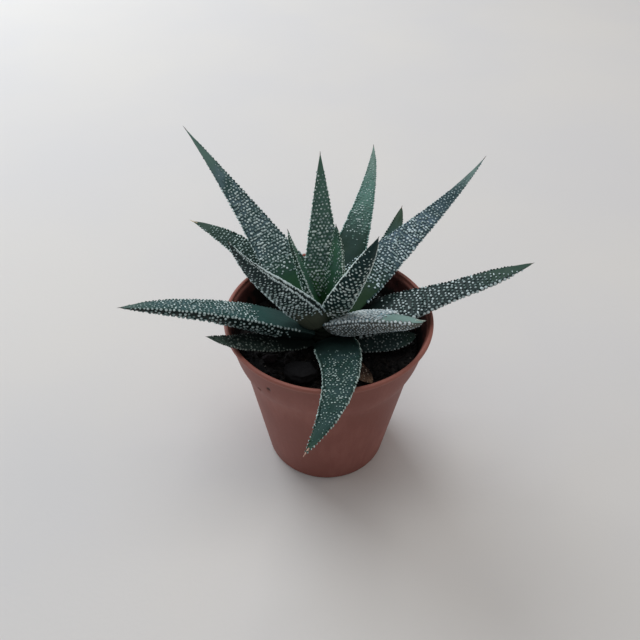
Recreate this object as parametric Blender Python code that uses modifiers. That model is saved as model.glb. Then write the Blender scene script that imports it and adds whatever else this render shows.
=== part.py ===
"""A small haworthia rosette in a round plastic nursery pot.

The pot stands on the XY plane with the middle of its flat underside at the
origin. +Z is up and -Y is the side of the pot that the front leaf hangs over.
"""
import math

import bmesh
import bpy
import numpy as np
from mathutils import Vector, noise

MM = 0.001                     # the sizes below are in millimetres, Blender's are metres
GAP = 0.3                      # clearance kept between neighbouring pieces

# pot
POT_HEIGHT = 48.7
RIM_RADIUS = 27.5              # outside of the rolled rim
RIM_DEPTH = 1.25               # how far the rim stands down over the collar
COLLAR_TOP_RADIUS = 26.6
COLLAR_FOOT_RADIUS = 24.9
RIM_WIDTH = 1.1                # of the rim's flat top, from its inside to its outside
COLLAR_DEPTH = 11.1            # from the rim's top to the step below the collar
BODY_TOP_RADIUS = 23.3         # just under the step
BASE_RADIUS = 17.2
WALL = 0.9
FLOOR = 1.1
BASE_EDGE = 0.4                # small rounding between the wall and the underside
POT_STEPS = 48
DRAIN_HOLES = 4
DRAIN_RADIUS = 2.4
DRAIN_CIRCLE = 9.5             # radius of the circle that the holes stand on

# soil
SOIL_LEVEL = 40.3
SOIL_RINGS = 7                 # rings of points across the top of the soil
SOIL_LUMP_HEIGHT = 0.45        # how far the top rises and falls
SOIL_LUMP_SIZE = 7.0
PIT_GAP = 0.5                  # room between the root end of the stem and the soil

# plant
PLANT_X = -1.0                 # the stem stands a little left of the pot's axis
STEM_PROFILE = [               # radius and height, from the tip down to the root end
    (0.0, 49.8), (1.5, 49.5), (2.3, 49.0), (2.9, 48.2), (3.2, 47.5), (3.6, 46.0),
    (4.1, 44.3), (4.1, 41.0), (3.6, 38.0), (2.4, 33.5), (0.0, 32.0),
]
STEM_STEPS = 20
LEAF_RINGS = 16
LEAF_SIDES = 10
BASE_NARROWING = 0.3           # width of a leaf's seat on the stem, against its full width
BASE_NARROWING_END = 0.2       # share of the length over which it reaches full width
CROWN = 0.12                   # height of the upper face, in units of the belly's depth
BELLY_POWER = 1.3              # above 1 gives the belly a keel

# Each leaf leaves the stem at height z, out millimetres from its axis, towards
# azimuth az (0 is +X, 90 is +Y), rising at the angle lift. The lift changes by
# bend + tip_bend along the leaf and the azimuth by sway + tip_sway, where the tip
# values act mostly near the tip. roll turns the leaf about its own length. The
# width falls as (1 - u**taper)**fullness, and the belly's depth is belly widths.
LEAF_DEFAULTS = dict(bend=0, tip_bend=0, sway=0, tip_sway=0, roll=0,
                     belly=0.26, taper=1.4, fullness=1.0, out=4.7)
LEAVES = {
    "leaf_back_left": dict(
        az=134, lift=34, bend=5, sway=5, tip_sway=6, roll=-8,
        length=60.8, width=15.5, z=47.5, out=3.7, taper=1.1, fullness=1.2),
    "leaf_back_left_low": dict(
        az=132, lift=24, bend=-10, tip_bend=-12, sway=16, tip_sway=8, roll=-12,
        length=48.4, width=10.5, z=43.5, belly=0.2, taper=1.6, fullness=0.8),
    "leaf_inner_left": dict(
        az=226, lift=60, bend=-33, tip_bend=34, sway=21, tip_sway=6, roll=38,
        length=54.0, width=10.2, z=48.6, out=3.7, belly=0.3, taper=1.45, fullness=1.25),
    "leaf_bud_left": dict(
        az=178, lift=72, bend=-8, tip_bend=12, roll=6,
        length=26.4, width=6.8, z=50.3, out=1.2, belly=0.34, taper=1.5, fullness=0.8),
    "leaf_centre_back": dict(
        az=99, lift=77, length=41.2, width=11.5, z=49.5, out=3.0, taper=1.2),
    "leaf_bud_right": dict(
        az=11, lift=80.5, bend=6, tip_bend=10, roll=25,
        length=25.9, width=8.5, z=51.3, out=0.8, belly=0.32, taper=1.4, fullness=0.75),
    "leaf_back": dict(
        az=71, lift=34, bend=-22, tip_bend=-11, tip_sway=19, roll=7,
        length=61.6, width=13.0, z=46.0, out=4.2, taper=1.0, fullness=1.1),
    "leaf_back_right_low": dict(
        az=50, lift=20.5, sway=14, tip_sway=14,
        length=42.8, width=9.0, z=43.0, fullness=0.7),
    "leaf_inner_right": dict(
        az=-48, lift=67, bend=-11, tip_bend=11, sway=-7, roll=-25,
        length=37.7, width=8.0, z=49.9, out=2.4, belly=0.32, taper=1.8, fullness=0.9),
    "leaf_back_right": dict(
        az=44, lift=25, bend=-24, tip_bend=21.5, sway=-12, tip_sway=20, roll=14,
        length=63.4, width=13.5, z=49.4, out=4.1, belly=0.24, taper=1.2, fullness=1.3),
    "leaf_right": dict(
        az=3, lift=22, bend=1, sway=2,
        length=52.0, width=14.5, z=44.5, out=4.5, taper=1.5, fullness=1.2),
    "leaf_front_right_short": dict(
        az=-30, lift=36, bend=-20, sway=-8, roll=-20,
        length=27.7, width=13.5, z=48.5, out=3.6, belly=0.36, taper=1.9, fullness=0.45),
    "leaf_front": dict(
        az=-72, lift=27, bend=-28, sway=-47.5, roll=8,
        length=50.3, width=11.7, z=44.2, fullness=0.87),
    "leaf_left": dict(
        az=194, lift=29, bend=-14, tip_bend=-5, tip_sway=11, roll=17,
        length=50.0, width=12.5, z=45.5, out=4.5, belly=0.38, taper=1.9, fullness=0.8),
    "leaf_front_left_low": dict(
        az=209, lift=12, bend=15, tip_bend=20, sway=10, roll=4,
        length=32.5, width=10.0, z=43.0, out=4.8, belly=0.12, taper=1.8, fullness=0.7),
    "leaf_right_low": dict(
        az=-17, lift=-4, bend=12, tip_bend=14, sway=14, tip_sway=16, roll=6,
        length=20.5, width=9.0, z=42.8, out=4.8, belly=0.2, taper=1.6, fullness=0.5),
    "leaf_dry": dict(
        az=-59, lift=-1, sway=6, roll=6,
        length=17.0, width=4.5, z=41.8, out=4.9, belly=0.15, taper=2.2, fullness=0.5),
}

# loose pieces lying on the soil: place of the middle, half sizes, seed of the lumps
LUMPS = {
    "charcoal_lump": dict(at=(-6.8, -15.2), half=(4.4, 3.7, 2.0), seed=3),
    "bark_bit_left": dict(at=(-15.0, -9.6), half=(2.2, 1.5, 1.1), seed=11),
    "bark_bit_front": dict(at=(3.0, -19.5), half=(2.0, 1.4, 0.9), seed=17),
    "bark_bit_back": dict(at=(-12.0, 14.5), half=(2.3, 1.7, 1.1), seed=23),
}
LUMP_ROUGHNESS = 0.16          # unevenness of a lump, as a share of its size

# colour, roughness
POT_FINISH = ((0.30, 0.105, 0.078), 0.62)
SOIL_FINISH = ((0.014, 0.012, 0.011), 0.95)
STEM_FINISH = ((0.11, 0.12, 0.045), 0.70)
LEAF_FINISH = ((0.040, 0.095, 0.065), 0.50)
DRY_LEAF_FINISH = ((0.060, 0.035, 0.022), 0.85)
CHARCOAL_FINISH = ((0.020, 0.018, 0.021), 0.80)
BARK_FINISH = ((0.035, 0.022, 0.020), 0.90)


def clear_scene():
    for old in list(bpy.data.objects):
        bpy.data.objects.remove(old, do_unlink=True)


def new_collection(name):
    collection = bpy.data.collections.new(name)
    bpy.context.scene.collection.children.link(collection)
    return collection


def new_material(name, finish):
    colour, roughness = finish
    material = bpy.data.materials.new(name)
    material.use_nodes = True
    shader = material.node_tree.nodes["Principled BSDF"]
    shader.inputs["Base Color"].default_value = (*colour, 1.0)
    shader.inputs["Roughness"].default_value = roughness
    shader.inputs["Metallic"].default_value = 0.0
    material.diffuse_color = (*colour, 1.0)
    return material


def place(piece, collection, material=None):
    for holder in list(piece.users_collection):
        holder.objects.unlink(piece)
    collection.objects.link(piece)
    if material is not None:
        piece.data.materials.clear()
        piece.data.materials.append(material)


def turned(name, profile, steps, collection):
    """Turn a profile of (radius, height) in millimetres about the piece's own Z axis."""
    points = [(radius * MM, 0.0, height * MM) for radius, height in profile]
    edges = [(i, i + 1) for i in range(len(points) - 1)]
    mesh = bpy.data.meshes.new(name)
    mesh.from_pydata(points, edges, [])
    piece = bpy.data.objects.new(name, mesh)
    collection.objects.link(piece)
    screw = piece.modifiers.new("turn", "SCREW")
    screw.axis = "Z"
    screw.angle = math.tau
    screw.steps = steps
    screw.render_steps = steps
    screw.use_merge_vertices = True
    screw.merge_threshold = 0.00001
    screw.use_smooth_shade = True
    return piece


def make_solid_mesh(piece):
    """Replace the piece's mesh by what its modifiers make of it."""
    graph = bpy.context.evaluated_depsgraph_get()
    mesh = bpy.data.meshes.new_from_object(piece.evaluated_get(graph))
    piece.modifiers.clear()
    piece.data = mesh
    mesh.name = piece.name
    return mesh


def cut(piece, cutter, collection):
    place(cutter, collection)
    cutter.hide_render = True
    cutter.display_type = "WIRE"
    boolean = piece.modifiers.new("cut " + cutter.name, "BOOLEAN")
    boolean.operation = "DIFFERENCE"
    boolean.solver = "EXACT"
    boolean.object = cutter


def collar_inner_radius(height):
    """Inside radius of the pot's collar at a height above the table."""
    step = POT_HEIGHT - COLLAR_DEPTH
    share = (height - step) / (POT_HEIGHT - RIM_DEPTH - step)
    outer = COLLAR_FOOT_RADIUS + (COLLAR_TOP_RADIUS - COLLAR_FOOT_RADIUS) * share
    return outer - WALL


def make_pot(parts, cutters):
    step = POT_HEIGHT - COLLAR_DEPTH
    rim_foot = POT_HEIGHT - RIM_DEPTH
    collar_inner = COLLAR_TOP_RADIUS - WALL
    rim_inner = RIM_RADIUS - RIM_WIDTH
    rim_round = 0.3
    outside = [
        (rim_inner + rim_round, POT_HEIGHT),
        (RIM_RADIUS - rim_round, POT_HEIGHT),
        (RIM_RADIUS, POT_HEIGHT - rim_round),
        (RIM_RADIUS, rim_foot + rim_round),
        (RIM_RADIUS - rim_round, rim_foot),
        (COLLAR_TOP_RADIUS, rim_foot - rim_round),
        (COLLAR_FOOT_RADIUS, step),
        (BODY_TOP_RADIUS, step - 0.8),
        (BASE_RADIUS, BASE_EDGE),
        (BASE_RADIUS - BASE_EDGE, 0.0),
        (0.0, 0.0),
    ]
    inside = [
        (0.0, FLOOR),
        (BASE_RADIUS - WALL, FLOOR),
        (BODY_TOP_RADIUS - WALL, step - 0.4),
        (COLLAR_FOOT_RADIUS - WALL, step + 0.4),
        (collar_inner, rim_foot - rim_round),
        (rim_inner, rim_foot + rim_round),
        (rim_inner, POT_HEIGHT - rim_round),
    ]
    pot = turned("pot", outside + inside + outside[:1], POT_STEPS, parts)
    for hole in range(DRAIN_HOLES):
        angle = math.radians(45) + hole * math.tau / DRAIN_HOLES
        middle = Vector((math.cos(angle), math.sin(angle), 0)) * DRAIN_CIRCLE * MM
        bpy.ops.mesh.primitive_cylinder_add(
            vertices=16, radius=DRAIN_RADIUS * MM, depth=4 * FLOOR * MM, location=middle)
        cutter = bpy.context.object
        cutter.name = f"drain_hole_{hole + 1}"
        cut(pot, cutter, cutters)
    place(pot, parts, new_material("terracotta plastic", POT_FINISH))


def soil_height(x, y):
    """Height of the soil's top at a point, in millimetres."""
    bump = noise.noise(Vector((x, y, 5.0)) / SOIL_LUMP_SIZE)
    return SOIL_LEVEL + SOIL_LUMP_HEIGHT * bump


def make_soil(parts, cutters):
    step = POT_HEIGHT - COLLAR_DEPTH
    top_radius = collar_inner_radius(SOIL_LEVEL) - GAP
    top = [(top_radius * i / SOIL_RINGS, SOIL_LEVEL) for i in range(SOIL_RINGS + 1)]
    side = [
        (COLLAR_FOOT_RADIUS - WALL - GAP, step + 0.4 + GAP),
        (BODY_TOP_RADIUS - WALL - GAP, step - 0.4 + GAP),
        (BASE_RADIUS - WALL - GAP, FLOOR + GAP),
        (0.0, FLOOR + GAP),
    ]
    soil = turned("soil", top + side, POT_STEPS, parts)
    mesh = make_solid_mesh(soil)
    for vertex in mesh.vertices:
        x, y, z = vertex.co / MM
        if z > SOIL_LEVEL - 0.01:
            vertex.co.z = soil_height(x, y) * MM
    pit = [(radius + PIT_GAP if radius else 0.0, height) for radius, height in STEM_PROFILE]
    pit[-1] = (0.0, STEM_PROFILE[-1][1] - PIT_GAP)
    cutter = turned("stem_pit", pit, STEM_STEPS, cutters)
    cutter.location.x = PLANT_X * MM
    cut(soil, cutter, cutters)
    place(soil, parts, new_material("potting soil", SOIL_FINISH))


def make_stem(parts):
    stem = turned("stem", STEM_PROFILE, STEM_STEPS, parts)
    stem.location.x = PLANT_X * MM
    place(stem, parts, new_material("stem", STEM_FINISH))


def smoothstep(share):
    share = np.clip(share, 0.0, 1.0)
    return share * share * (3.0 - 2.0 * share)


def leaf_points(leaf):
    """Rings of points round a leaf, and the points on its middle line, in millimetres.

    The middle line starts at the root and follows the direction given by the
    lift and azimuth at each share u of the length. At each ring, side points to
    the leaf's left edge and face up out of its upper surface.
    """
    u = np.linspace(0.0, 1.0, LEAF_RINGS)

    def angles(share):
        lift = np.radians(leaf["lift"] + leaf["bend"] * share + leaf["tip_bend"] * share**2)
        az = np.radians(leaf["az"] + leaf["sway"] * share + leaf["tip_sway"] * share**2)
        return lift, az

    def heading(lift, az):
        flat = np.cos(lift)
        return np.stack([flat * np.cos(az), flat * np.sin(az), np.sin(lift)], axis=-1)

    start = math.radians(leaf["az"])
    root = np.array([PLANT_X + leaf["out"] * math.cos(start),
                     leaf["out"] * math.sin(start), leaf["z"]])
    steps = heading(*angles((u[1:] + u[:-1]) / 2)) * leaf["length"] / (LEAF_RINGS - 1)
    middle = root + np.vstack([np.zeros(3), np.cumsum(steps, axis=0)])

    lift, az = angles(u)
    left = np.stack([-np.sin(az), np.cos(az), 0 * az], axis=-1)
    up = np.cross(heading(lift, az), left)
    roll = math.radians(leaf["roll"])
    side = math.cos(roll) * left + math.sin(roll) * up
    face = math.cos(roll) * up - math.sin(roll) * left

    half = leaf["width"] / 2 * (1.0 - u**leaf["taper"])**leaf["fullness"]
    half *= BASE_NARROWING + (1.0 - BASE_NARROWING) * smoothstep(u / BASE_NARROWING_END)
    depth = 2 * leaf["belly"] * half
    turn = np.linspace(0.0, math.tau, LEAF_SIDES, endpoint=False)
    rise = np.sin(turn)
    rise = np.where(rise >= 0, CROWN * rise, -np.abs(rise)**BELLY_POWER)
    across = (half[:, None] * np.cos(turn))[..., None] * side[:, None]
    through = (depth[:, None] * rise)[..., None] * face[:, None]
    return middle[:, None] + across + through, middle


def make_leaf(name, values, parts, material):
    """Loft the leaf's rings, with a fan to its point and a fan over its seat."""
    rings, middle = leaf_points({**LEAF_DEFAULTS, **values})
    mesh = bpy.data.meshes.new(name)
    build = bmesh.new()
    ring_verts = [[build.verts.new(point * MM) for point in ring] for ring in rings[:-1]]
    tip = build.verts.new(middle[-1] * MM)
    seat = build.verts.new(middle[0] * MM)
    for i in range(LEAF_SIDES):
        j = (i + 1) % LEAF_SIDES
        for near, far in zip(ring_verts[:-1], ring_verts[1:]):
            build.faces.new((near[i], near[j], far[j], far[i]))
        build.faces.new((ring_verts[-1][i], ring_verts[-1][j], tip))
        build.faces.new((ring_verts[0][j], ring_verts[0][i], seat))
    bmesh.ops.recalc_face_normals(build, faces=build.faces)
    build.to_mesh(mesh)
    build.free()
    mesh.shade_smooth()
    leaf = bpy.data.objects.new(name, mesh)
    place(leaf, parts, material)


def make_lump(name, values, parts, material):
    """A rounded lump lying on the soil, its lowest point just clear of the top."""
    bpy.ops.mesh.primitive_ico_sphere_add(subdivisions=2, radius=1.0)
    lump = bpy.context.object
    lump.name = name
    lump.data.name = name
    x, y = values["at"]
    half = Vector(values["half"])
    offset = Vector((values["seed"], 0.0, 0.0))
    for vertex in lump.data.vertices:
        swell = 1.0 + LUMP_ROUGHNESS * noise.noise(vertex.co * 1.7 + offset)
        vertex.co = Vector(a * b for a, b in zip(vertex.co * swell, half))
    bottom = min(vertex.co.z for vertex in lump.data.vertices)
    ground = max(soil_height(x + half.x * i, y + half.y * j)
                 for i in (-0.5, 0.0, 0.5) for j in (-0.5, 0.0, 0.5))
    middle = Vector((x, y, ground + GAP - bottom))
    for vertex in lump.data.vertices:
        vertex.co = (vertex.co + middle) * MM
    lump.data.shade_smooth()
    place(lump, parts, material)


def main():
    clear_scene()
    parts = new_collection("potted_haworthia")
    cutters = new_collection("cutters")
    make_pot(parts, cutters)
    make_soil(parts, cutters)
    make_stem(parts)
    for name, values in LEAVES.items():
        finish = DRY_LEAF_FINISH if name == "leaf_dry" else LEAF_FINISH
        make_leaf(name, values, parts, new_material(name + " skin", finish))
    for name, values in LUMPS.items():
        finish = CHARCOAL_FINISH if name == "charcoal_lump" else BARK_FINISH
        make_lump(name, values, parts, new_material(name + " surface", finish))


main()
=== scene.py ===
import math

import bpy
import numpy as np
from mathutils import Matrix, Vector


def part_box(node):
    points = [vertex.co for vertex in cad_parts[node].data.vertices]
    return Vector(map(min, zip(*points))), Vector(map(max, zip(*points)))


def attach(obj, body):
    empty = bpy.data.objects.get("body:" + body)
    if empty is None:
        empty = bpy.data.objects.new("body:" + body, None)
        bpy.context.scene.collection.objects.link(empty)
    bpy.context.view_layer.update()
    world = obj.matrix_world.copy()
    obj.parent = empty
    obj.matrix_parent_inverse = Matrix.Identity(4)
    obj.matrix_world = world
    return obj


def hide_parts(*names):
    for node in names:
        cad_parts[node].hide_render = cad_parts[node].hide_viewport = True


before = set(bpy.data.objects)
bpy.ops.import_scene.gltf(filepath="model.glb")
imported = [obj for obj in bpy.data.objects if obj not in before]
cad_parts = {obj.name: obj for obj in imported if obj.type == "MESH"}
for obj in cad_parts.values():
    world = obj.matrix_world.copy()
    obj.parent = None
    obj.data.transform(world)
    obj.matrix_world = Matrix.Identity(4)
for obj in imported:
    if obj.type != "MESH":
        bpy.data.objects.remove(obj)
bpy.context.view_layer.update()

mm = 0.001
print("frame loaded:", len(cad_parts), "nodes")


class Value:
    # one shader value; sums, products and powers written on it add their Math nodes
    def __init__(self, look, socket):
        self.look = look
        self.socket = socket

    def join(self, operation, first, second):
        return self.look.node("Math", {"operation": operation}, {0: first, 1: second})

    def __add__(self, other):
        return self.join("ADD", self, other)

    def __sub__(self, other):
        return self.join("SUBTRACT", self, other)

    def __rsub__(self, other):
        return self.join("SUBTRACT", other, self)

    def __mul__(self, other):
        return self.join("MULTIPLY", self, other)

    def __pow__(self, other):
        return self.join("POWER", self, other)

    __radd__ = __add__
    __rmul__ = __mul__


class Look:
    # one material and its specular level; node() adds a node by its kind, its settings, then its sockets
    def __init__(self, name, gleam):
        self.material = bpy.data.materials.new(name)
        self.material.use_nodes = True
        self.tree = self.material.node_tree
        self.shader = self.tree.nodes["Principled BSDF"]
        self.shader.inputs["Specular IOR Level"].default_value = gleam

    def feed(self, socket, value):
        if isinstance(value, Value):
            self.tree.links.new(value.socket, socket)
        else:
            socket.default_value = value

    def node(self, kind, settings, sockets, output=0):
        made = self.tree.nodes.new("ShaderNode" + kind)
        for name, value in settings.items():
            setattr(made, name, value)
        for socket, value in sockets.items():
            self.feed(made.inputs[socket], value)
        return Value(self, made.outputs[output])

    def mix(self, factor, first, second):
        # each side is a Value or a screen colour; sockets 6 and 7 take them and output 2 gives the mix
        first, second = (side if isinstance(side, Value) else tint(*side) for side in (first, second))
        return self.node("Mix", {"data_type": "RGBA"}, {0: factor, 6: first, 7: second}, 2)

    def ease(self, value, low, high):
        # 0 below low, 1 above high, smooth between; low over high turns it round
        return self.node("MapRange", {"interpolation_type": "SMOOTHSTEP"},
                         {0: value, 1: low, 2: high})

    def mark(self, name):
        # a number that the mesh carries at each point
        return self.node("Attribute", {"attribute_name": name}, {}, "Fac")

    def place(self):
        return self.node("TexCoord", {}, {}, "Object")

    def vector(self, x, y, z):
        return self.node("CombineXYZ", {}, {0: x, 1: y, 2: z})

    def noise(self, scale, detail, where=None):
        vector = self.place() if where is None else where
        return self.node("TexNoise", {}, {"Vector": vector, "Scale": scale, "Detail": detail})

    def bump(self, height, distance, strength):
        sockets = {"Height": height, "Distance": distance, "Strength": strength}
        self.feed(self.shader.inputs["Normal"], self.node("Bump", {}, sockets))

    def finish(self, colour, roughness):
        self.feed(self.shader.inputs["Base Color"], colour)
        self.feed(self.shader.inputs["Roughness"], roughness)
        return self.material


def tint(red, green, blue):
    # a screen colour, 0 to 255, as the shader's linear colour
    screen = np.array([red, green, blue]) / 255
    linear = np.where(screen < 0.04045, screen / 12.92, ((screen + 0.055) / 1.055) ** 2.4)
    return (*linear.tolist(), 1.0)


def ease(value, low, high):
    # 0 below low, 1 above high, smooth between; low over high turns it round
    share = np.clip((value - low) / (high - low), 0, 1)
    return share * share * (3 - 2 * share)


def circle(count):
    # that many angles round a circle, in radians
    return np.linspace(0, 2 * math.pi, count, endpoint=False)


def lumps(x, y, size, seed, cells=97):
    # smooth noise from -1 to 1: random heights on a square lattice of that size, eased between;
    # it repeats after so many cells
    table = np.random.default_rng(seed).uniform(-1, 1, (cells, cells))
    column, row = np.floor(x / size).astype(int), np.floor(y / size).astype(int)
    across, along = ease(x / size - column, 0, 1), ease(y / size - row, 0, 1)

    def height(east, north):
        return table[(column + east) % cells, (row + north) % cells]

    near = height(0, 0) * (1 - across) + height(1, 0) * across
    far = height(0, 1) * (1 - across) + height(1, 1) * across
    return near * (1 - along) + far * along


def tubeFaces(rings, sides):
    # quads between neighbouring rings, and a fan of triangles to a pole at each end
    ring = np.arange(rings * sides).reshape(rings, sides)
    turn = np.roll(ring, -1, axis=1)
    quads = np.stack([ring[:-1], turn[:-1], turn[1:], ring[1:]], -1).reshape(-1, 4)
    pole = np.full(sides, rings * sides)
    fans = np.concatenate([np.stack([turn[0], ring[0], pole], -1),
                           np.stack([ring[-1], turn[-1], pole + 1], -1)])
    return [quads, fans]


def tube(rows, slot=0, **marks):
    # a closed shell from rings of points, rows[ring, side], with a pole at the mean of each end ring;
    # the marks are numbers on the same grid, for the material to read
    rings, sides = rows.shape[:2]

    def listed(grid, *kind):
        return np.concatenate([grid.reshape(rings * sides, *kind), grid[[0, -1]].mean(1)])

    return dict(points=listed(rows, 3), faces=tubeFaces(rings, sides), slot=slot,
                marks={name: listed(grid) for name, grid in marks.items()})


def turned(profile, angles):
    # each profile point (radius, height) carried round the upright axis, from the lower end up
    radius, height = profile[:, 0, None], profile[:, 1, None]
    return tube(np.stack([radius * np.cos(angles), radius * np.sin(angles), height + 0 * angles], -1))


def rounded(corners, fillets, spacing, most=0.45, steps=6):
    # a line through the corners: each corner becomes a curve from its fillet before to its fillet after,
    # at most so much of each run, and the straight runs get a point every spacing
    corners = np.array(corners, float)
    t = np.linspace(0, 1, steps)[:, None]
    out = [corners[:1]]
    for i in range(1, len(corners) - 1):
        here = corners[i]
        first, last = (here + (other - here) * min(fillets[i] / np.linalg.norm(other - here), most)
                       for other in (corners[i - 1], corners[i + 1]))
        out.append((1 - t) ** 2 * first + 2 * t * (1 - t) * here + t * t * last)
    out.append(corners[-1:])
    line = np.concatenate(out)
    counts = np.maximum(1, np.ceil(np.linalg.norm(np.diff(line, axis=0), axis=1) / spacing).astype(int))
    spans = [line[i] + (line[i + 1] - line[i]) * (np.arange(n) / n)[:, None] for i, n in enumerate(counts)]
    return np.concatenate(spans + [line[-1:]])


def build(name, shells, looks, stands):
    # one mesh object of several shells, in millimetres, placed in its mesh and riding on the frame
    offsets = np.cumsum([0] + [len(s["points"]) for s in shells])
    points = np.concatenate([s["points"] for s in shells]) * mm
    blocks = [(faces + offset, s["slot"]) for s, offset in zip(shells, offsets) for faces in s["faces"]]
    corner = np.concatenate([faces.ravel() for faces, _ in blocks])
    sizes = np.concatenate([np.full(len(faces), faces.shape[1]) for faces, _ in blocks])
    slots = np.concatenate([np.full(len(faces), where) for faces, where in blocks])
    mesh = bpy.data.meshes.new(name)
    mesh.vertices.add(len(points))
    mesh.vertices.foreach_set("co", points.ravel())
    mesh.loops.add(len(corner))
    mesh.loops.foreach_set("vertex_index", corner)
    mesh.polygons.add(len(sizes))
    mesh.polygons.foreach_set("loop_start", np.cumsum(sizes) - sizes)
    mesh.polygons.foreach_set("material_index", slots)
    mesh.update(calc_edges=True)
    mesh.shade_smooth()
    for mark in sorted({key for s in shells for key in s["marks"]}):
        values = np.concatenate([s["marks"].get(mark, np.zeros(len(s["points"]))) for s in shells])
        mesh.attributes.new(mark, "FLOAT", "POINT").data.foreach_set("value", values)
    for look in looks:
        mesh.materials.append(look)
    piece = bpy.data.objects.new(name, mesh)
    bpy.context.scene.collection.objects.link(piece)
    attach(piece, "root")
    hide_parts(stands)
    return piece


# Leaves, in mm and degrees. Each grows from the stem at out from the axis and height z, pointing az round
# and lift up; bend, tipBend, sway and tipSway turn it as it grows, and roll lifts its left margin. width
# narrows by taper and fullness, and to rootWidth at the root; belly is its thickness, tipRound widens its
# end, notch narrows and paleEdge pales its left margin. Screen colours: root, body and tip along it, belly
# and bellyFoot below it, dots from dull to dotColour over footColour, and the dry point's spineColour.
# rootEnd, tipStart and the bloom's ends are shares of the length.
# A dot field covers the inner face or the belly from start to end over a fade; slant and bow move its end
# sideways, middle clears its middle, reach is its share of the width, pitch the distance between dots,
# size their radius, scatter how loosely they stand and ridge the share drawn out crosswise.
# A row of beads follows the left margin (edge 1) or the right one (-1), inset from it on the inner face or
# on the belly, and lengthwise draws its beads out.
plantX = -1.0
leafUsual = dict(
    bend=0, tipBend=0, sway=0, tipSway=0, roll=0, belly=0.26, taper=1.4, fullness=1.0, out=4.7,
    rootWidth=0.85, tipRound=0.48, notch=0, root=(44, 74, 50), body=(38, 60, 54), tip=(80, 108, 98),
    bellyColour=(30, 48, 42), rootEnd=0.3, tipStart=0.72, bloom=0.12, bloomStart=0.2, bloomEnd=0.8,
    paleEdge=0, innerDots={}, bellyDots={}, beads=[dict(edge=1), dict(edge=-1)],
    dotColour=(206, 226, 226), dullDot=(136, 160, 160), spine=0.7, spineColour=(96, 96, 84), spineTurn=0,
    spineWidth=0.1)
dotsUsual = dict(start=0.12, end=0.8, fade=0.12, slant=0, bow=0.1, middle=0, reach=0.94, pitch=0.84,
                 size=0.29, ridge=0.15, scatter=1.6)
beadsUsual = dict(belly=False, inset=0, start=0.1, end=0.9, pitch=0.86, size=0.29, lengthwise=1.0)
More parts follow.
